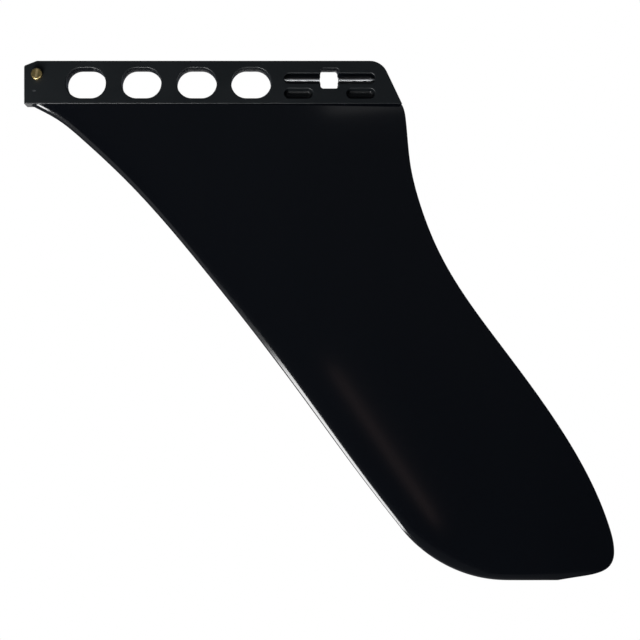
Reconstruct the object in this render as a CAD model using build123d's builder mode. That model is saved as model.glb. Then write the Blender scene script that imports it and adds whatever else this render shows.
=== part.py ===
from build123d import *
import os

# A centre fin for a paddleboard: one black moulding with a box tab and a swept blade,
# a brass cross pin, and two steel latch rods in the tab's slot.
# The frame is the fin as installed in the picture: the tab is on top and the blade hangs down.
# +X runs aft, +Y through the thickness, and the origin is the middle of the cross pin.
# All sizes are in millimetres and angles in degrees.

# Tab, the block that drops into the board's fin box
tab_thickness = 8.5
tab_height = 18.25
tab_length = 160.6
edge_bevel = 0.45
nose_chamfer_length = 5.4
nose_chamfer_drop = 2.1
nose_corner_radius = 1.0
rear_slant = 8.7
rear_corner_radius = 8.0

# Brass cross pin near the tab's front end
pin_diameter = 4.76
pin_length = 12.7
pin_from_front = 5.6
pin_from_top = 5.9
pin_end_chamfer = 0.35
press_clearance = 0.01

# Latch: a square window, and beside it a long slot sunk from both faces to a thin web,
# with a steel rod moulded into each half of the web
latch_from_rear = 30.8
latch_below_pin = 1.58
latch_web = 1.6
slot_length = 38.4
slot_height = 4.1
window_width = 7.6
window_height = 8.35
window_corner_radius = 1.2
rod_diameter = 2.4
rod_seat = 3.5
rod_end_gap = 0.2
rod_chamfer = 0.25

# Four lightening holes between the pin and the slot, given by their height and the webs beside them
hole_height = 12.65
holes_below_pin = 3.55
pin_to_holes = 12.2
hole_web = 6.8
last_hole_web = 6.35
slot_web = 5.75

# Holes, slot and window are drafted from the parting line at mid thickness
draft = 1.5

# Blind pockets under the slot, which keep the moulded wall even
pocket_length = 12.0
pocket_height = 4.1
pocket_depth = 3.0
pocket_below_slot = 2.3

# Blade in side view
fin_depth = 203.2
leading_setback = 2.2
trailing_reach = 91.2
tip_corner_length = 24.2
tip_corner_height = 12.3
foot_length = 22.0

# Blade's foil section
root_ledge = 0.5
tip_thickness = 2.4
trailing_thickness = 1.4
nose_length = 6.0
foot_edge_height = 3.0

# Shape of the foil's curves, as shares of the chord or of the thickness
crest_place = 0.35
crest_run = 0.3
nose_run = 0.1
nose_fullness = 0.75
tail_run = 0.2
tail_fullness = 0.35
thinnest_share = 0.8
foot_edge_share = 0.35

# Places that follow from the sizes
half_tab = tab_thickness / 2
top = pin_from_top
shoulder = top - tab_height
front = -pin_from_front
rear = front + tab_length
latch_centre = rear - latch_from_rear
latch_height = -latch_below_pin
slot_front = latch_centre - slot_length / 2
slot_rear = latch_centre + slot_length / 2
hole_width = (slot_front - slot_web - last_hole_web - 2 * hole_web - pin_to_holes) / 4
blade_front = front + leading_setback
tip = rear + trailing_reach
foot_rear = tip - tip_corner_length
foot_front = foot_rear - foot_length


def on_leading_side(along, down):
    """A point of the outline, as shares of the leading edge's reach and of the fin's depth."""
    return (blade_front + along * (foot_front - blade_front), shoulder - down * fin_depth)


def on_trailing_side(along, down):
    """A point of the outline, as shares of the trailing edge's reach and of the fin's depth."""
    return (rear + along * trailing_reach, shoulder - down * fin_depth)


def in_tip_corner(along, up):
    """A point of the outline, as shares of the tip corner's length and height."""
    return (foot_rear + along * tip_corner_length, shoulder - fin_depth + up * tip_corner_height)


# The blade's outline in side view: a swept leading edge that rounds into a short flat foot,
# a tip corner, and a hollow trailing edge that runs up into the tab's slanted end.
with BuildSketch(Plane.XZ) as planform:
    with BuildLine():
        leading = Spline(
            on_leading_side(0, 0),
            on_leading_side(0.059, 0.032),
            on_leading_side(0.105, 0.069),
            on_leading_side(0.200, 0.158),
            on_leading_side(0.366, 0.348),
            on_leading_side(0.562, 0.601),
            on_leading_side(0.701, 0.790),
            on_leading_side(0.775, 0.885),
            tangents=[(1, -0.5), (0.62, -0.78)],
        )
        foot_curve = Bezier(
            leading @ 1,
            on_leading_side(0.817, 0.943),
            on_leading_side(0.900, 1),
            on_leading_side(1, 1),
        )
        foot = Line(foot_curve @ 1, in_tip_corner(0, 0))
        tip_corner = Bezier(
            foot @ 1,
            in_tip_corner(0.58, 0.13),
            in_tip_corner(1, 0.15),
            in_tip_corner(1, 1),
        )
        trailing = Spline(
            tip_corner @ 1,
            on_trailing_side(0.976, 0.885),
            on_trailing_side(0.771, 0.696),
            on_trailing_side(0.470, 0.506),
            on_trailing_side(0.187, 0.316),
            on_trailing_side(0.087, 0.204),
            on_trailing_side(0.045, 0.127),
            on_trailing_side(0.023, 0.032),
            on_trailing_side(0.006, 0),
            tangents=[(0, 1), (-0.5, 1)],
        )
        Line(trailing @ 1, leading @ 0)
    make_face()

blade_outline = planform.sketch.face()


def chord_at(down):
    """Where the blade starts and ends along X, at a share of its depth."""
    if down == 1:
        return foot_front, foot_rear
    level = shoulder - down * fin_depth
    cut = blade_outline.intersect(Edge.make_line((front, 0, level), (tip, 0, level)))
    ends = [corner.X for edge in cut for corner in edge.vertices()]
    return min(ends), max(ends)


def half_thickness_at(down):
    """Half the foil's greatest thickness: an even taper from root to tip, rounded off at the foot's edge."""
    root = half_tab - root_ledge
    taper = root + (tip_thickness / 2 - root) * down
    above_foot = min((1 - down) * fin_depth, foot_edge_height)
    roundness = (1 - (1 - above_foot / foot_edge_height) ** 2) ** 0.5
    return taper * (foot_edge_share + (1 - foot_edge_share) * roundness)


# Levels of the foil sections, as shares of the blade's depth, closer together where the tip rounds
foil_levels = [0, 0.03, 0.1, 0.2, 0.32, 0.45, 0.57, 0.69, 0.79, 0.87, 0.93, 0.965, 0.985, 0.994, 0.998, 1]

with BuildPart() as fin_body:
    # Tab block, with a chamfered front corner and a slanted, rounded rear end
    with BuildSketch(Plane.XZ):
        with BuildLine():
            tab_outline = FilletPolyline(
                (front, shoulder),
                (front, top - nose_chamfer_drop),
                (front + nose_chamfer_length, top),
                (rear - rear_slant, top),
                (rear, shoulder),
                radius=[nose_corner_radius, nose_corner_radius, rear_corner_radius],
            )
            Line(tab_outline @ 1, tab_outline @ 0)
        make_face()
    extrude(amount=half_tab, both=True)

    # Lightening holes
    with BuildSketch(Plane.XZ):
        hole_middle = pin_to_holes + hole_width / 2
        for web in (hole_web, hole_web, last_hole_web, slot_web):
            with Locations((hole_middle, -holes_below_pin)):
                SlotOverall(hole_width, hole_height)
            hole_middle += hole_width + web
    extrude(amount=half_tab, both=True, taper=-draft, mode=Mode.SUBTRACT)

    # Latch window, and the slot sunk from both faces to the web
    with BuildSketch(Plane.XZ):
        with Locations((latch_centre, latch_height)):
            RectangleRounded(window_width, window_height, window_corner_radius)
    extrude(amount=half_tab, both=True, taper=-draft, mode=Mode.SUBTRACT)
    for side in (1, -1):
        with BuildSketch(Plane.XZ.offset(side * latch_web / 2)):
            with Locations((latch_centre, latch_height)):
                SlotOverall(slot_length, slot_height)
        extrude(amount=side * (half_tab - latch_web / 2), taper=-draft, mode=Mode.SUBTRACT)

    # A small bevel round both sides of the tab and on the rims of its holes
    chamfer(fin_body.faces().filter_by(Axis.Y).sort_by(SortBy.AREA)[-2:].edges(), edge_bevel)

    # Pockets on both faces, one under each half of the slot
    pocket_centre = latch_height - slot_height / 2 - pocket_below_slot - pocket_height / 2
    for side in (1, -1):
        with BuildSketch(Plane.XZ.offset(side * half_tab)):
            with Locations(
                (slot_front + pocket_length / 2, pocket_centre),
                (slot_rear - pocket_length / 2, pocket_centre),
            ):
                SlotOverall(pocket_length, pocket_height)
        extrude(amount=-side * pocket_depth, mode=Mode.SUBTRACT)

    # Bore for the cross pin, and a bore for each rod, from its blind seat along the web to the window
    with BuildSketch(Plane.XZ):
        Circle(pin_diameter / 2 + press_clearance)
    extrude(amount=half_tab, both=True, mode=Mode.SUBTRACT)
    for seat_bottom, way in ((slot_front - rod_seat, 1), (slot_rear + rod_seat, -1)):
        with BuildSketch(Plane.YZ.offset(seat_bottom)):
            with Locations((0, latch_height)):
                Circle(rod_diameter / 2 + press_clearance)
        extrude(amount=way * (rod_seat + slot_length / 2), mode=Mode.SUBTRACT)

    # Blade: foil sections from the shoulder to the foot, each with a round nose and a thin square tail
    for down in foil_levels:
        nose, tail = chord_at(down)
        chord = tail - nose
        thick = half_thickness_at(down)
        thin = min(trailing_thickness / 2, thick * thinnest_share)
        crest = nose + crest_place * chord
        with BuildSketch(Plane.XY.offset(shoulder - down * fin_depth)):
            with BuildLine():
                fore = Bezier(
                    (nose, 0),
                    (nose, nose_fullness * thick),
                    (nose + min(nose_length, nose_run * chord), thick),
                    (crest, thick),
                )
                aft = Bezier(
                    fore @ 1,
                    (crest + crest_run * chord, thick),
                    (tail - tail_run * chord, thin + tail_fullness * (thick - thin)),
                    (tail, thin),
                )
                Line(aft @ 1, (tail, -thin))
                mirror(fore, about=Plane.XZ)
                mirror(aft, about=Plane.XZ)
            make_face()
    loft()

with BuildPart() as front_pin:
    with BuildSketch(Plane.XZ):
        Circle(pin_diameter / 2)
    extrude(amount=pin_length / 2, both=True)
    chamfer(front_pin.edges(), pin_end_chamfer)

with BuildPart() as front_latch_rod:
    rod_start = slot_front - rod_seat + press_clearance
    rod_end = latch_centre - window_width / 2 - rod_end_gap
    with BuildSketch(Plane.YZ.offset(rod_start)):
        with Locations((0, latch_height)):
            Circle(rod_diameter / 2)
    extrude(amount=rod_end - rod_start)
    chamfer(front_latch_rod.edges(), rod_chamfer)

with BuildPart() as rear_latch_rod:
    mirror(front_latch_rod.part, about=Plane.YZ.offset(latch_centre))

os.makedirs("parts", exist_ok=True)
fin_body.part.label = "fin_body"
export_step(fin_body.part, "parts/fin_body.step")
front_pin.part.label = "front_pin"
export_step(front_pin.part, "parts/front_pin.step")
front_latch_rod.part.label = "front_latch_rod"
export_step(front_latch_rod.part, "parts/front_latch_rod.step")
rear_latch_rod.part.label = "rear_latch_rod"
export_step(rear_latch_rod.part, "parts/rear_latch_rod.step")
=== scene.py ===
import math

import bmesh
import bpy
import numpy as np
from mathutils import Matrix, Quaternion, Vector
from mathutils.geometry import delaunay_2d_cdt


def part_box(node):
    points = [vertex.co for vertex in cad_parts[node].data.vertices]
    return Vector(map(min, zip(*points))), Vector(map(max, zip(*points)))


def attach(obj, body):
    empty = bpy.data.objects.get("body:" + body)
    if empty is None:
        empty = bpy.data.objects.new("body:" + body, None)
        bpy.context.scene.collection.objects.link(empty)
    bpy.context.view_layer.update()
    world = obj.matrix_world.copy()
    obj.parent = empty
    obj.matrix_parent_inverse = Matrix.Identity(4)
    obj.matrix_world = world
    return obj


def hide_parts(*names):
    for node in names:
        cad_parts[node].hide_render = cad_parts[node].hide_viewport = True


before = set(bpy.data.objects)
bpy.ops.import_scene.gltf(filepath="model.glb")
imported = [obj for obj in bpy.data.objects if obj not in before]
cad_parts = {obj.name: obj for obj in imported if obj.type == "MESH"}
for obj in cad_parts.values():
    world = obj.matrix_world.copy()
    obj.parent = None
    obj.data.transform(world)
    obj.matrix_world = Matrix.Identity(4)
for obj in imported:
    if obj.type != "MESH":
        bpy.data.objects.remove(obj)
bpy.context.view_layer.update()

# Black moulding: the blade and the box tab above it, shot as one piece in glass-filled nylon.
# The tab comes out of a spark-eroded part of the mould and is satin. The blade's half is polished.
# The tab is lightened by four ovals, and a long slot with a square window holds the latch rods.
body_low, body_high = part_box("fin_body")
front, half_tab, top, foot = body_low.x, body_high.y, body_high.z, body_low.z
fin_depth = 0.2032
tab_length = 0.1606
shoulder = foot + fin_depth
rear = front + tab_length
tip = body_high.x


def rounded_outline(corners, radii):
    """Closed outline with the material on its left, each corner an arc of its radius, tangent to both sides.

    An arc of radius r at a turn of angle a starts r tan(a / 2) before the corner.
    A radius of 0 is a sharp corner.
    """
    arc_steps, least_gap = 20, 1e-7
    corners = np.array(corners, float)
    before = corners - np.roll(corners, 1, axis=0)
    after = np.roll(before, -1, axis=0)
    before /= np.linalg.norm(before, axis=1)[:, None]
    after /= np.linalg.norm(after, axis=1)[:, None]
    stretches = []
    for corner, way_in, way_out, radius in zip(corners, before, after, radii):
        if radius == 0:
            stretches.append(corner[None])
            continue
        turn = math.atan2(way_in[0] * way_out[1] - way_in[1] * way_out[0], way_in @ way_out)
        side = math.copysign(radius, turn) * np.array([-way_in[1], way_in[0]])
        centre = corner - way_in * radius * math.tan(abs(turn) / 2) + side
        angles = np.linspace(0, turn, arc_steps)[:, None]
        stretches.append(centre - side * np.cos(angles) + radius * way_in * np.sin(np.abs(angles)))
    outline = np.concatenate(stretches)
    gaps = np.linalg.norm(outline - np.roll(outline, 1, axis=0), axis=1)
    return outline[gaps > least_gap]


def box_outline(middle_x, middle_z, width, height, radius):
    """Rectangle with rounded corners, run clockwise, so that the material is outside it."""
    x, z = width / 2, height / 2
    corners = [(middle_x - x, middle_z - z), (middle_x - x, middle_z + z)]
    corners += [(middle_x + x, middle_z + z), (middle_x + x, middle_z - z)]
    return rounded_outline(corners, [radius] * 4)


def into_material(outline):
    """At each point, the step that moves both sides of an outline by one unit into the material on its left.

    The step is the sum of the two sides' normals over one plus their scalar product.
    """
    along = np.roll(outline, -1, axis=0) - outline
    along /= np.linalg.norm(along, axis=1)[:, None]
    normal = np.stack([-along[:, 1], along[:, 0]], axis=1)
    last = np.roll(normal, 1, axis=0)
    return (normal + last) / (1 + (normal * last).sum(axis=1))[:, None]


def closed_round(verts):
    """Vertices and quads of a grid of points whose last row joins its first."""
    around, across = verts.shape[:2]
    i, j = np.meshgrid(np.arange(around), np.arange(across - 1), indexing="ij")
    k = (i + 1) % around
    quads = np.stack([i * across + j, k * across + j, k * across + j + 1, i * across + j + 1], axis=-1)
    return verts.reshape(-1, 3), quads.reshape(-1, 4)


def wall_along(outline, profile):
    """Wall whose profile, points of (depth into the material, y), is carried along a closed outline."""
    steps = into_material(outline)
    points = outline[:, None] + steps[:, None] * profile[None, :, :1]
    heights = np.broadcast_to(profile[None, :, 1], points.shape[:2])
    return closed_round(np.stack([points[..., 0], heights, points[..., 1]], axis=-1))


def lip_arc(radius, start):
    """Rounded lip's quarter circle from wall to face: points of (depth into the material, distance up)."""
    angle = np.linspace(0, math.pi / 2, 7)
    return np.stack([start + radius * (1 - np.cos(angle)), radius * (np.sin(angle) - 1)], axis=1)


def side_profile(slope, radius, start=0.0):
    """Wall from a start near mid thickness to one face, opening at the draft and ending in a rounded lip."""
    half = lip_arc(radius, (half_tab - radius - start) * slope)
    half[:, 1] += half_tab
    return np.concatenate([[[0.0, start]], half])


def rim_profile(slope, radius):
    """Wall from side to side, narrowest at mid thickness, with a rounded lip at each face.

    A wall with no slope needs no point at mid thickness.
    """
    half = side_profile(slope, radius)
    return np.concatenate([(half * [1, -1])[:0:-1], half[0 if slope else 1 :]])


def pocket_profile(depth, slope, radius, floor_radius):
    """Blind wall on the near side: rounded lip, wall leaning in at its draft, and rounded foot."""
    angle = np.linspace(0, math.pi / 2, 9)
    reach = depth - floor_radius
    inwards = -reach * slope - floor_radius * (1 - np.cos(angle))
    downwards = -reach - floor_radius * np.sin(angle)
    foot_part = np.stack([inwards, downwards], axis=1)
    profile = np.concatenate([foot_part[::-1], lip_arc(radius, 0)])
    return np.stack([profile[:, 0], -(half_tab + profile[:, 1])], axis=1)


# The tab in side view, with the same sizes as the solid's
nose_chamfer_length, nose_chamfer_drop, nose_corner = 0.0054, 0.0021, 0.001
rear_slant, rear_corner = 0.0087, 0.008
latch_from_rear = 0.0308
latch_x = rear - latch_from_rear
latch_z = -0.00158
half_web = 0.0008
slot_length, slot_height = 0.0384, 0.0041
window_width, window_height, window_corner = 0.0076, 0.00835, 0.0012
slot_front = latch_x - slot_length / 2
slot_rear = latch_x + slot_length / 2
hole_height = 0.01265
hole_z = -0.00355
hole_webs = np.array([0.0068, 0.0068, 0.00635, 0.00575])
holes_start = 0.0122
hole_width = (slot_front - holes_start - hole_webs.sum()) / 4
hole_middles = holes_start + hole_width * (np.arange(4) + 0.5) + np.append(0, np.cumsum(hole_webs[:-1]))
pocket_length, pocket_height, pocket_depth, below_slot = 0.012, 0.0041, 0.003, 0.0023
pocket_z = latch_z - slot_height / 2 - below_slot - pocket_height / 2
pin_bore = 0.00239

# Lips and drafts. A round end's radius is just under half its height, so that its arcs don't meet.
lip, tab_lip, pocket_lip, pocket_floor_radius = 0.00045, 0.0003, 0.0004, 0.0014
draft, pocket_draft = math.tan(math.radians(1.5)), math.tan(math.radians(8))
nearly = 0.9999

tab_corners = [(front, top - nose_chamfer_drop), (front, shoulder), (rear, shoulder)]
tab_corners += [(rear - rear_slant, top), (front + nose_chamfer_length, top)]
tab_outline = rounded_outline(tab_corners, [nose_corner, 0, 0, rear_corner, nose_corner])
slot_side = latch_z + slot_height / 2 * np.array([-1, 1])
window_side = latch_z + window_height / 2 * np.array([-1, 1])
window_end = latch_x + window_width / 2 * np.array([-1, 1])
end_radius = slot_height / 2 * nearly
latch_outline = rounded_outline(
    [
        (slot_front, slot_side[0]),
        (slot_front, slot_side[1]),
        (window_end[0], slot_side[1]),
        (window_end[0], window_side[1]),
        (window_end[1], window_side[1]),
        (window_end[1], slot_side[1]),
        (slot_rear, slot_side[1]),
        (slot_rear, slot_side[0]),
        (window_end[1], slot_side[0]),
        (window_end[1], window_side[0]),
        (window_end[0], window_side[0]),
        (window_end[0], slot_side[0]),
    ],
    [end_radius, end_radius, 0, window_corner, window_corner, 0] * 2,
)
window_outline = rounded_outline(
    [
        (window_end[0], window_side[0]),
        (window_end[0], slot_side[0]),
        (window_end[0], slot_side[1]),
        (window_end[0], window_side[1]),
        (window_end[1], window_side[1]),
        (window_end[1], slot_side[1]),
        (window_end[1], slot_side[0]),
        (window_end[1], window_side[0]),
    ],
    [window_corner, 0, 0, window_corner] * 2,
)
webs = [
    rounded_outline(
        [(end, slot_side[0]), (end, slot_side[1]), (stop, slot_side[1]), (stop, slot_side[0])],
        [end_radius, end_radius, 0, 0],
    )
    for end, stop in ((slot_front, window_end[0]), (slot_rear, window_end[1]))
]
holes = [box_outline(x, hole_z, hole_width, hole_height, hole_height / 2 * nearly) for x in hole_middles]
pockets = [
    box_outline(x, pocket_z, pocket_length, pocket_height, pocket_height / 2 * nearly)
    for x in (slot_front + pocket_length / 2, slot_rear - pocket_length / 2)
]
bore_outline = box_outline(0, 0, 2 * pin_bore, 2 * pin_bore, pin_bore * nearly)


def built(name, parts):
    """One mesh from parts of (vertices, faces), welded where they meet, with its faces turned outwards."""
    verts, faces, start = [], [], 0
    for points, loops in parts:
        verts.append(np.asarray(points))
        faces += (np.asarray(loops) + start).tolist()
        start += len(points)
    mesh = bpy.data.meshes.new(name)
    mesh.from_pydata(np.concatenate(verts).tolist(), [], faces)
    shell = bmesh.new()
    shell.from_mesh(mesh)
    bmesh.ops.remove_doubles(shell, verts=shell.verts, dist=1e-6)
    bmesh.ops.recalc_face_normals(shell, faces=shell.faces)
    shell.to_mesh(mesh)
    shell.free()
    piece = bpy.data.objects.new(name, mesh)
    bpy.context.scene.collection.objects.link(piece)
    return piece


def filled(rims):
    """Triangles of the face between the rims, over all their points: Delaunay ones whose middles are inside.

    A middle is inside when a line from it along X crosses the rims an odd number of times.
    """
    inside_edges, least_gap = 1, 1e-9
    points = np.concatenate(rims)
    ends = np.cumsum([len(rim) for rim in rims])
    following = np.arange(1, len(points) + 1)
    following[ends - 1] = ends - [len(rim) for rim in rims]
    edges = np.stack([np.arange(len(points)), following], axis=1).tolist()
    found = delaunay_2d_cdt([Vector(point) for point in points.tolist()], edges, [], inside_edges, least_gap)
    triangles = np.array(found[2])
    x, z = (points[triangles].mean(axis=1)[:, None, axis] for axis in (0, 1))
    (x1, z1), (x2, z2) = points.T, points[following].T
    straddles = (z1 > z) != (z2 > z)
    to_the_right = ((x2 - x1) * (z - z1) > (x - x1) * (z2 - z1)) == (z2 > z1)
    return triangles[(straddles & to_the_right).sum(axis=1) % 2 == 1]


# The tab's walls, the webs and pocket floors, and last the two faces, cut out round every opening
through = [(tab_outline, rim_profile(0, tab_lip))]
through += [(outline, rim_profile(draft, lip)) for outline in holes]
through += [(bore_outline, np.array([[0, -half_tab], [0, half_tab]]))]
slot_wall = side_profile(draft, lip, start=half_web)
near_pocket = pocket_profile(pocket_depth, pocket_draft, pocket_lip, pocket_floor_radius)
blind = [(latch_outline, slot_wall)] + [(outline, near_pocket) for outline in pockets]
parts = [wall_along(outline, profile) for outline, profile in through]
parts += [wall_along(window_outline, np.array([[0, -half_web], [0, half_web]]))]
for side in (1, -1):
    parts += [wall_along(latch_outline, slot_wall * [1, side])]
    parts += [(np.insert(web, 1, side * half_web, axis=1), [list(range(len(web)))]) for web in webs]
    for outline in pockets:
        wall = wall_along(outline, near_pocket * [1, side])
        floor_ring = np.arange(len(outline)) * len(near_pocket)
        parts += [wall, (wall[0][floor_ring], [list(range(len(outline)))])]
rims = [outline + into_material(outline) * profile[-1, 0] for outline, profile in through + blind]
face = filled(rims)
parts += [(np.insert(np.concatenate(rims), 1, side * half_tab, axis=1), face) for side in (-1, 1)]
moulding = built("moulded_fin", parts)


def cubic_through(points, start, end):
    """Smooth curve through points: cubics in the chord length whose slopes and bends run on between spans.

    The slope at each inner point solves
    h2 m0 + 2 (h1 + h2) m1 + h1 m2 = 3 (h2 d1 / h1 + h1 d2 / h2),
    where h and d are the lengths and steps of the spans on each side.
    The slopes at the ends are the given directions.
    """
    span_steps = 60
    points = np.array(points)
    steps = np.diff(points, axis=0)
    lengths = np.linalg.norm(steps, axis=1)
    inner = np.arange(1, len(points) - 1)
    system = np.eye(len(points))
    system[inner, inner - 1] = lengths[1:]
    system[inner, inner] = 2 * (lengths[:-1] + lengths[1:])
    system[inner, inner + 1] = lengths[:-1]
    known = np.zeros_like(points)
    known[0], known[-1] = (np.array(way) / np.linalg.norm(way) for way in (start, end))
    slope_before, slope_after = steps[:-1] / lengths[:-1, None], steps[1:] / lengths[1:, None]
    known[1:-1] = 3 * (lengths[1:, None] * slope_before + lengths[:-1, None] * slope_after)
    slopes = np.linalg.solve(system, known)
    t = np.linspace(0, 1, span_steps, endpoint=False)[None, :, None]
    begin, length = points[:-1, None], lengths[:, None, None]
    curve = begin * (2 * t**3 - 3 * t**2 + 1) + points[1:, None] * (3 * t**2 - 2 * t**3)
    curve = curve + length * (slopes[:-1, None] * (t**3 - 2 * t**2 + t) + slopes[1:, None] * (t**3 - t**2))
    return np.concatenate([curve.reshape(-1, 2), points[-1:]])


def bezier(p0, p1, p2, p3, t):
    """Cubic Bezier curve: the points weighted by the four terms of (1 - t + t) cubed."""
    return (1 - t) ** 3 * p0 + 3 * (1 - t) ** 2 * t * p1 + 3 * (1 - t) * t**2 * p2 + t**3 * p3


# The blade's outline in side view, from the shoulder down to the foot on both edges.
# Points are shares of each edge's reach and of the fin's depth, or of the tip corner's length and height.
leading_setback, foot_length = 0.0022, 0.022
corner_length, corner_height = 0.0242, 0.0123
blade_front = front + leading_setback
foot_rear = tip - corner_length
foot_front = foot_rear - foot_length
leading_shares = [(0, 0), (0.059, 0.032), (0.105, 0.069), (0.2, 0.158), (0.366, 0.348), (0.562, 0.601)]
leading_shares += [(0.701, 0.79), (0.775, 0.885)]
foot_shares = [(0.775, 0.885), (0.817, 0.943), (0.9, 1), (1, 1)]
corner_shares = [(1, 1), (1, 0.12), (0.55, 0.23), (0, 0)]
trailing_shares = [(0.006, 0), (0.023, 0.032), (0.045, 0.127), (0.087, 0.204), (0.187, 0.316), (0.47, 0.506)]
trailing_shares += [(0.771, 0.696), (0.976, 0.885), (1, 1 - corner_height / fin_depth)]
leading_points = np.array(leading_shares) * [foot_front - blade_front, -fin_depth] + [blade_front, shoulder]
foot_points = np.array(foot_shares) * [foot_front - blade_front, -fin_depth] + [blade_front, shoulder]
trailing_points = np.array(trailing_shares) * [tip - rear, -fin_depth] + [rear, shoulder]
corner_points = np.array(corner_shares) * [corner_length, corner_height] + [foot_rear, foot]
fine = np.linspace(0, 1, 400)[:, None]
leading_edge = cubic_through(leading_points, (1, -0.5), (0.62, -0.78))
leading_edge = np.concatenate([leading_edge, bezier(*foot_points, fine)])
trailing_edge = cubic_through(trailing_points, (0.5, -1), (0, -1))
trailing_edge = np.concatenate([trailing_edge, bezier(*corner_points, fine)])

# Foil sections, level by level, closer together towards the foot, where the outline turns under
root_ledge = 0.0005
root_thickness = half_tab - root_ledge
tip_thickness = 0.0012
tail_thickness = 0.0007
foot_rounding = 0.003
foot_edge_share = 0.35
thinnest_share = 0.8
level_steps = 260
down = 1 - (1 - np.linspace(0, 1, level_steps)) ** 2
level = shoulder - down * fin_depth
nose = np.interp(-level, -leading_edge[:, 1], leading_edge[:, 0])
tail = np.interp(-level, -trailing_edge[:, 1], trailing_edge[:, 0])
near_foot = np.minimum((1 - down) * fin_depth, foot_rounding) / foot_rounding
roundness = np.sqrt(1 - (1 - near_foot) ** 2)
taper = root_thickness + (tip_thickness - root_thickness) * down
thick = taper * (foot_edge_share + (1 - foot_edge_share) * roundness)
thin = np.minimum(tail_thickness, thick * thinnest_share)

# The foil's curves from the nose to the crest and on to the tail, as shares of the chord or the thickness.
# The points along the nose lie closer together where it is round.
crest_place, crest_run = 0.35, 0.3
nose_length, nose_run, nose_fullness = 0.006, 0.1, 0.75
tail_run, tail_fullness = 0.2, 0.35
chord = tail - nose
crest = nose + crest_place * chord
nose_reach = np.minimum(nose_length, nose_run * chord)
fore_points = [(nose, 0 * thick), (nose, nose_fullness * thick), (nose + nose_reach, thick), (crest, thick)]
aft_points = [(crest, thick), (crest + crest_run * chord, thick)]
aft_points += [(tail - tail_run * chord, thin + tail_fullness * (thick - thin)), (tail, thin)]
fore_t = np.linspace(0, 1, 30)[:-1] ** 1.3
aft_t = np.linspace(0, 1, 46)


def section_curve(points, t):
    """The same curve for every level at once: control points of (x, y) arrays, weighted as a Bezier curve."""
    x = bezier(*(np.broadcast_to(p[0], chord.shape)[:, None] for p in points), t[None])
    y = bezier(*(np.broadcast_to(p[1], chord.shape)[:, None] for p in points), t[None])
    return x, y


fore_x, fore_y = section_curve(fore_points, fore_t)
aft_x, aft_y = section_curve(aft_points, aft_t)
side_x, side_y = np.concatenate([fore_x, aft_x], axis=1), np.concatenate([fore_y, aft_y], axis=1)
ring_x = np.concatenate([side_x, side_x[:, :0:-1]], axis=1)
ring_y = np.concatenate([side_y, -side_y[:, :0:-1]], axis=1)
rings = np.stack([ring_x, ring_y, np.broadcast_to(level[:, None], ring_x.shape)], axis=-1)

# The blade runs up into the tab, leaning forward with the tab's slanted end
buried_height, rear_inset, narrowing = 0.001, 0.0016, 0.992
buried = rings[:1].copy()
buried[..., 2] += buried_height
buried[..., 0] = rear - rear_inset + (buried[..., 0] - rear) * narrowing
rings = np.concatenate([buried, rings])
levels, around = rings.shape[:2]
i, j = np.meshgrid(np.arange(levels - 1), np.arange(around), indexing="ij")
k = (j + 1) % around
quads = np.stack([i * around + j, (i + 1) * around + j, (i + 1) * around + k, i * around + k], axis=-1)
caps = [(rings[row], [list(range(around))]) for row in (0, -1)]
blade = built("blade_shell", [(rings.reshape(-1, 3), quads.reshape(-1, 4)), *caps])


def round_bar(start, length, radius):
    """Closed round bar along X from a start, at the rods' height."""
    sides = 48
    angle = np.linspace(0, 2 * math.pi, sides, endpoint=False)
    circle = np.stack([np.zeros(sides), radius * np.sin(angle), latch_z + radius * np.cos(angle)], axis=1)
    ends = np.concatenate([circle + [start, 0, 0], circle + [start + length, 0, 0]])
    i = np.arange(sides)
    k = (i + 1) % sides
    quads = np.stack([i, k, k + sides, i + sides], axis=1)
    return [(ends, quads), (ends[:sides], [i.tolist()]), (ends[sides:], [i.tolist()])]


# Each rod's bore runs from its seat's blind end along the web, and stops just before the window's middle
rod_seat, bore_radius, short_of_middle = 0.0035, 0.00121, 0.0005
bore_length = rod_seat + slot_length / 2 - short_of_middle
front_bore = round_bar(slot_front - rod_seat, bore_length, bore_radius)
rear_bore = round_bar(slot_rear + rod_seat - bore_length, bore_length, bore_radius)
borer = built("rod_borer", front_bore + rear_bore)
for tool, operation in ((blade, "UNION"), (borer, "DIFFERENCE")):
    joined = moulding.modifiers.new(operation.lower(), "BOOLEAN")
    joined.operation, joined.object, joined.solver = operation, tool, "EXACT"
bpy.context.view_layer.update()
finished = bpy.data.meshes.new_from_object(moulding.evaluated_get(bpy.context.evaluated_depsgraph_get()))
moulding.modifiers.clear()
moulding.data = finished
finished.name = "moulded_fin"
for tool in (blade, borer):
    bpy.data.objects.remove(tool)


def shade_smooth(mesh, sharpest):
    """Smooth shading, with edges kept sharp where they turn by more than an angle in degrees."""
    mesh.polygons.foreach_set("use_smooth", np.ones(len(mesh.polygons), bool))
    mesh.set_sharp_from_angle(angle=math.radians(sharpest))


shade_smooth(finished, 32)
even = moulding.modifiers.new("even_normals", "WEIGHTED_NORMAL")
even.keep_sharp = True
even.weight = 100


class Wire:
    """A shader value that takes part in sums: each operator adds a Math node."""

    def __init__(self, finish, socket):
        self.finish, self.socket = finish, socket

    def math(self, operation, *values):
        """Math node on this value and others."""
        return self.finish.node("ShaderNodeMath", {"operation": operation}, self, *values)

    def __add__(self, other):
        return self.math("ADD", other)

    def __mul__(self, other):
        return self.math("MULTIPLY", other)

    def __sub__(self, other):
        return self.math("SUBTRACT", other)

    def __rsub__(self, other):
        return self.finish.node("ShaderNodeMath", {"operation": "SUBTRACT"}, other, self)

    def __truediv__(self, other):
        return self.math("DIVIDE", other)

    __radd__, __rmul__ = __add__, __mul__


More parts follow.
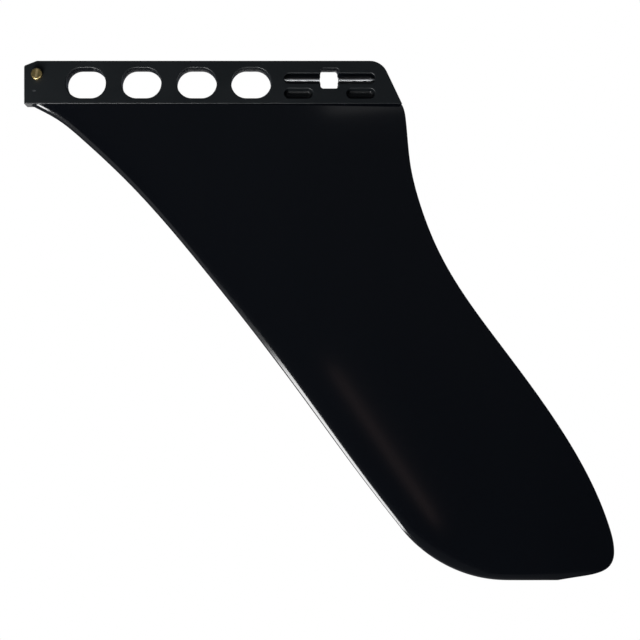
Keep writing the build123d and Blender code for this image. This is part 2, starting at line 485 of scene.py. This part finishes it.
class Finish:
    """A material whose shader is set by sums on the piece's own coordinates."""

    def __init__(self, name, **constants):
        self.material = bpy.data.materials.new(name)
        self.material.use_nodes = True
        self.tree = self.material.node_tree
        self.shader = self.tree.nodes["Principled BSDF"]
        self.feed(**constants)
        self.place = self.node("ShaderNodeTexCoord", {}, output="Object")
        parts = self.node("ShaderNodeSeparateXYZ", {}, self.place).socket.node
        self.x, self.y, self.z = (Wire(self, parts.outputs[axis]) for axis in "XYZ")

    def plug(self, value, socket):
        """Links a wire to a socket, or sets the socket to a value."""
        if isinstance(value, Wire):
            self.tree.links.new(value.socket, socket)
        else:
            socket.default_value = value

    def node(self, kind, settings, *values, output=0, **named):
        """Node of a kind: its settings first, then values or wires for its sockets, by order or by name."""
        node = self.tree.nodes.new(kind)
        for setting, value in settings.items():
            setattr(node, setting, value)
        for key, value in (*enumerate(values), *named.items()):
            self.plug(value, node.inputs[key if isinstance(key, int) else key.replace("_", " ")])
        return Wire(self, node.outputs[output])

    def noise(self, scale, detail, stretch=(1, 1, 1)):
        """Noise of a number of cells a metre, stretched along the axes."""
        mapped = self.node("ShaderNodeMapping", {}, self.place, Scale=stretch)
        return self.node("ShaderNodeTexNoise", {}, Vector=mapped, Scale=scale, Detail=detail, output="Fac")

    def ramp(self, value, low, high):
        """Soft step from 0 below low to 1 above high."""
        soft, stops = {"interpolation_type": "SMOOTHSTEP"}, {"From_Min": low, "From_Max": high}
        return self.node("ShaderNodeMapRange", soft, Value=value, output="Result", **stops)

    def blend(self, mask, first, second):
        """Colour that goes from the first to the second with a mask."""
        node = self.tree.nodes.new("ShaderNodeMix")
        node.data_type = "RGBA"
        for index, value in ((0, mask), (6, first), (7, second)):
            self.plug(value, node.inputs[index])
        return Wire(self, node.outputs[2])

    def bump(self, height, distance):
        """Bump of a height from 0 to 1 over a distance in metres."""
        return self.node("ShaderNodeBump", {}, Height=height, Distance=distance, output="Normal")

    def feed(self, **values):
        """Sets the shader's sockets, or links wires to them."""
        for socket, value in values.items():
            self.plug(value, self.shader.inputs[socket.replace("_", " ")])

    def give(self, piece):
        """Makes this the piece's only material."""
        piece.data.materials.clear()
        piece.data.materials.append(self.material)


# Satin on the tab's two faces and in the small pockets. The walls between the faces are polished, and painted
# shade makes their colour darker.
blur = 0.0001
pockets_from_window, pockets_below_slot = (0.006, 0.0065), (0.0015, 0.0017)
nylon = Finish("black_nylon", IOR=1.5)
satin = nylon.ramp(nylon.z, shoulder, shoulder + blur)
outer = nylon.ramp(nylon.y.math("ABSOLUTE"), half_tab - lip - 2 * blur, half_tab - lip)
in_pocket = nylon.ramp((nylon.x - latch_x).math("ABSOLUTE"), *pockets_from_window)
in_pocket = in_pocket * nylon.ramp(float(slot_side[0]) - nylon.z, *pockets_below_slot)
# Walls between the faces, outside the pockets: polished, and darkened there by painted shade
polished_shaded_walls = satin * (1 - outer) * (1 - in_pocket)
clouds = nylon.noise(60, 4)
flow = nylon.noise(16, 2, (1, 1, 0.35))
grain = nylon.noise(5200, 2)
ripple = nylon.noise(26, 1)
blade_black = nylon.blend(flow, (0.0018, 0.0022, 0.0034, 1), (0.0026, 0.0032, 0.0046, 1))
tab_black = nylon.blend(clouds, (0.0036, 0.0052, 0.0062, 1), (0.0058, 0.0076, 0.0090, 1))
# Painted shade: the walls between the faces take mostly the blade's darker black instead of the tab's
moulded = nylon.blend(satin * (1 - 0.8 * polished_shaded_walls), blade_black, tab_black)

# A lighter oval below the pin, on the near side only
mark_x, mark_z, mark_half_width, mark_half_height = -0.0013, -0.0069, 0.00095, 0.0005
mark_grey = (0.05, 0.053, 0.056, 1)
across_mark, up_mark = (nylon.x - mark_x) / mark_half_width, (nylon.z - mark_z) / mark_half_height
near_side = 1 - nylon.ramp(nylon.y, -half_tab + blur, -half_tab + 2 * blur)
# Lighter grey in an oval on the near face only
lighter_oval = (1 - nylon.ramp(across_mark * across_mark + up_mark * up_mark, 0.35, 1.0)) * near_side
nylon.feed(
    Base_Color=nylon.blend(lighter_oval * (0.5 + 0.5 * clouds), moulded, mark_grey),
    Roughness=0.09 + flow * 0.05 + (satin - polished_shaded_walls) * (0.24 + clouds * 0.11),
    Normal=nylon.bump(grain * satin * 0.5 + ripple * (1 - satin) * 0.5, 0.00003),
)
nylon.give(moulding)
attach(moulding, "root")
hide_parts("fin_body")


# Cross pin: a short bar of brass, turned and parted off, with slightly dished ends and rounded edges.
# It is pressed through the tab near its front end and rides in the grooves of the fin box.
def turned(name, profile, middle, along):
    """Closed solid of revolution: a profile of (distance along, radius), turned about the X or the Y axis."""
    sides = 96
    angle = np.linspace(0, 2 * math.pi, sides, endpoint=False)[:, None]
    distance = np.broadcast_to(profile[None, :, 0], (sides, len(profile)))
    first, second = profile[None, :, 1] * np.cos(angle), profile[None, :, 1] * np.sin(angle)
    axes = (distance, first, second) if along == "X" else (first, distance, second)
    piece = built(name, [closed_round(np.stack(axes, axis=-1) + np.array(middle))])
    shade_smooth(piece.data, 30)
    return piece


def bar_profile(start, end, radius, edge, dish):
    """Half section of a bar: a dished end face, a quarter circle round its edge, and the straight side."""
    face_radius = radius - edge
    r = np.linspace(0, face_radius, 8)
    end_face = np.stack([dish * (1 - (r / face_radius) ** 2), r], axis=1)
    angle = np.linspace(0, math.pi / 2, 9)[1:]
    rim = np.stack([edge * (1 - np.cos(angle)), face_radius + edge * np.sin(angle)], axis=1)
    half = np.concatenate([end_face, rim])
    return np.concatenate([half + [start, 0], (half * [-1, 1] + [end, 0])[::-1]])


pin_edge, pin_dish = 0.00045, 0.00006
pin_low, pin_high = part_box("front_pin")
pin_radius = (pin_high.x - pin_low.x) / 2
pin_profile = bar_profile(pin_low.y, pin_high.y, pin_radius, pin_edge, pin_dish)
pin = turned("cross_pin", pin_profile, (0, 0, 0), "Y")

# Turning rings on the ends, dull brass in patches, and a brighter streak that leans across each end
radians_a_metre, streak_lean, streak_edge = 26000, 0.19, (0.0002, 0.0008)
bright_brass, dull_brass = (0.78, 0.61, 0.31, 1), (0.26, 0.195, 0.075, 1)
brass = Finish("turned_brass", Metallic=1.0)
from_axis = (brass.x * brass.x + brass.z * brass.z).math("SQRT")
rings_cut = (from_axis * radians_a_metre).math("SINE") * 0.5 + 0.5
tarnish = brass.noise(900, 4)
streaks = brass.noise(1500, 2, (1, 1, 0.25))
dull = brass.ramp(tarnish * 0.6 + streaks * 0.4, 0.38, 0.62)
beside_streak = brass.ramp((brass.x - streak_lean * brass.z).math("ABSOLUTE"), *streak_edge)
brass.feed(
    Base_Color=brass.blend(dull * 0.3 + beside_streak * 0.7, bright_brass, dull_brass),
    Roughness=0.36 + dull * 0.1,
    Normal=brass.bump(rings_cut * 0.5 + streaks, 0.00002),
)
brass.give(pin)
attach(pin, "root")
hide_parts("front_pin")

# Latch rods: two lengths of drawn stainless rod, one in each half of the slot.
# Their outer ends sit in blind seats at the slot's ends, and their inner ends stop at the window.
rod_edge = 0.00025
steel = Finish("drawn_steel", Metallic=1.0)
drawn = steel.noise(5200, 3, (0.03, 1, 1))
steel.feed(
    Base_Color=steel.blend(drawn, (0.42, 0.43, 0.44, 1), (0.66, 0.67, 0.68, 1)),
    Roughness=0.22 + drawn * 0.16,
    Normal=steel.bump(drawn, 0.00002),
)
for name, node in (("front_rod", "front_latch_rod"), ("rear_rod", "rear_latch_rod")):
    rod_low, rod_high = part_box(node)
    rod_radius = (rod_high.y - rod_low.y) / 2
    rod = turned(name, bar_profile(rod_low.x, rod_high.x, rod_radius, rod_edge, 0), (0, 0, latch_z), "X")
    steel.give(rod)
    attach(rod, "root")
    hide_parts(node)

# Studio: a pale floor well below the hanging fin, which the camera sees as nearly white.
floor_z, floor_half, floor_middle = -0.62, 1.3, 0.1
mesh = bpy.data.meshes.new("studio_floor")
corners = floor_half * np.array([(-1, -1, 0), (1, -1, 0), (1, 1, 0), (-1, 1, 0)]) + [floor_middle, 0, floor_z]
mesh.from_pydata(corners.tolist(), [], [(0, 1, 2, 3)])
floor = bpy.data.objects.new("studio_floor", mesh)
bpy.context.scene.collection.objects.link(floor)
paper = Finish("floor_paper", Base_Color=(0.86, 0.86, 0.86, 1), Roughness=0.9)
seen = paper.node("ShaderNodeLightPath", {}, output="Is Camera Ray")
along_floor = paper.x - floor_middle
from_middle = (along_floor * along_floor + paper.y * paper.y).math("SQRT")
pale = paper.node("ShaderNodeEmission", {}, (1, 1, 1, 1))
whitened = seen * (0.75 + 0.25 * paper.ramp(from_middle, 0.6, 1.25))
surface = paper.node("ShaderNodeMixShader", {}, whitened, Wire(paper, paper.shader.outputs[0]), pale)
paper.tree.links.new(surface.socket, paper.tree.nodes["Material Output"].inputs["Surface"])
paper.give(floor)

# Surround: a dim room, a little brighter overhead, lights the fin. The camera sees white instead, and so do
# rays through glass. Glossy rays see it only in a narrow cone straight behind, so the hole walls stay dark.
world = bpy.data.worlds.new("studio")
bpy.context.scene.world = world
world.use_nodes = True
nodes, links = world.node_tree.nodes, world.node_tree.links
surround = nodes["Background"]
surround.inputs["Color"].default_value = (0.78, 0.86, 1, 1)
white = nodes.new("ShaderNodeBackground")
white.inputs["Color"].default_value = (1, 1, 1, 1)
rays = nodes.new("ShaderNodeLightPath")
heading = nodes.new("ShaderNodeSeparateXYZ")
links.new(nodes.new("ShaderNodeTexCoord").outputs["Generated"], heading.inputs[0])


def across_room(axis, stops, values):
    """Value that changes softly between two places on an axis of the direction looked in."""
    change = nodes.new("ShaderNodeMapRange")
    change.interpolation_type = "SMOOTHSTEP"
    for socket, value in zip(("From Min", "From Max", "To Min", "To Max"), (*stops, *values)):
        change.inputs[socket].default_value = value
    links.new(heading.outputs[axis], change.inputs["Value"])
    return change.outputs[0]


def combined(operation, first, second):
    """Math node on two of the surround's values."""
    result = nodes.new("ShaderNodeMath")
    result.operation = operation
    links.new(first, result.inputs[0])
    links.new(second, result.inputs[1])
    return result.outputs[0]


links.new(across_room("Z", stops=(-0.3, 0.3), values=(0.016, 0.085)), surround.inputs["Strength"])
straight_behind = across_room("Y", stops=(0.985, 0.999), values=(0, 1))
sees_white = combined("MULTIPLY", rays.outputs["Is Glossy Ray"], straight_behind)
for ray in ("Is Camera Ray", "Is Transmission Ray"):
    sees_white = combined("MAXIMUM", sees_white, rays.outputs[ray])
choice = nodes.new("ShaderNodeMixShader")
links.new(sees_white, choice.inputs[0])
links.new(surround.outputs[0], choice.inputs[1])
links.new(white.outputs[0], choice.inputs[2])
links.new(choice.outputs[0], nodes["World Output"].inputs["Surface"])


def soft_lamp(name, place, target, width, height, power, turn=0.0, colour=(1, 1, 1)):
    """Rectangular soft lamp at a place, facing a target and turned about its own axis. Power is in watts."""
    light = bpy.data.lights.new(name, "AREA")
    light.shape, light.size, light.size_y = "RECTANGLE", width, height
    light.energy, light.color = power, colour
    lamp = bpy.data.objects.new(name, light)
    lamp.location = place
    facing = (Vector(target) - Vector(place)).to_track_quat("-Z", "Y")
    lamp.rotation_euler = (facing @ Quaternion((0, 0, 1), math.radians(turn))).to_euler()
    lamp.visible_camera = False
    bpy.context.scene.collection.objects.link(lamp)
    return lamp


# Lamps above and behind shape the far side, and a strip behind lights the tab's underside
centre = (0.1, 0, -0.105)
soft_lamp("top_lamp", (0.1, 0.3, 0.8), centre, 0.9, 0.6, 0.6)
soft_lamp("back_lamp", (-0.45, 0.6, 0.5), centre, 0.6, 0.6, 2.5)
soft_lamp("back_card", (0.85, 0.7, -0.3), centre, 0.5, 0.5, 1.2)
soft_lamp("back_strip", (-0.107, 0.576, -0.132), (-0.003, 0, -0.0124), 0.03, 0.05, 0.0026)

# The key lamp below left draws the white line along the lower leading edge, and a small card close to the
# root draws the wedge there. A broad card fills in from the left. Weak cards give the blade's warm streak and
# the tab's lighter end.
soft_lamp("key_lamp", (-0.16, -0.342, -0.484), centre, 0.43, 0.2, 5.2, turn=28.4)
soft_lamp("white_card", (-0.5, -0.35, -0.25), (0.1, 0, -0.1), 0.5, 0.6, 0.35)
root_place, root_target = (-0.0223, -0.0309, -0.0383), (0.0015, -0.0025, -0.0126)
soft_lamp("root_card", root_place, root_target, 0.013, 0.0055, 0.0056, turn=43.7)
streak_place, streak_target, warm = (0.189, -0.4, -0.2165), (0.189, 0, -0.2165), (1, 0.68, 0.62)
soft_lamp("warm_card", streak_place, streak_target, 0.144, 0.012, 0.0019, turn=-55.8, colour=warm)
soft_lamp("end_card", (0.222, -0.4, 0.107), (0.222, 0, 0.107), 0.065, 0.075, 0.006)

# Two lamps reach only the pin and the rods, because the slot's lip keeps the others off the rods
latch_target = (0.125, 0, 0)
rod_lamp = soft_lamp("rod_lamp", (0.22, -0.36, -0.215), latch_target, 0.3, 0.1, 0.6)
rod_fill = soft_lamp("rod_fill", (0.22, -0.4, 0.1), latch_target, 0.3, 0.25, 0.08)
metal_parts = bpy.data.collections.new("metal_parts")
for name in ("cross_pin", "front_rod", "rear_rod"):
    metal_parts.objects.link(bpy.data.objects[name])
for lamp in (rod_lamp, rod_fill):
    lamp.light_linking.receiver_collection = metal_parts

# Camera square to the fin's side and half a metre off. It faces the picture's middle row and the column that
# the walls of the holes point to, and the lens is shifted sideways, so that the pin lies where it does there.
picture_side = 640
metres_per_pixel = 0.0004282
distance = 0.5
pin_column, pin_row = 38.87, 76.63
facing_column = 238
view = bpy.data.cameras.new("camera")
view.sensor_width = 36
view.lens = view.sensor_width * distance / (picture_side * metres_per_pixel)
view.shift_x = (picture_side / 2 - facing_column) / picture_side
view.clip_start = 0.01
camera = bpy.data.objects.new("camera", view)
camera_x = (facing_column - pin_column) * metres_per_pixel
camera_z = (pin_row - picture_side / 2) * metres_per_pixel
camera.location = (camera_x, -distance, camera_z)
camera.rotation_euler = (math.radians(90), 0, 0)
bpy.context.scene.collection.objects.link(camera)
bpy.context.scene.camera = camera
bpy.context.scene.view_settings.view_transform = "Standard"
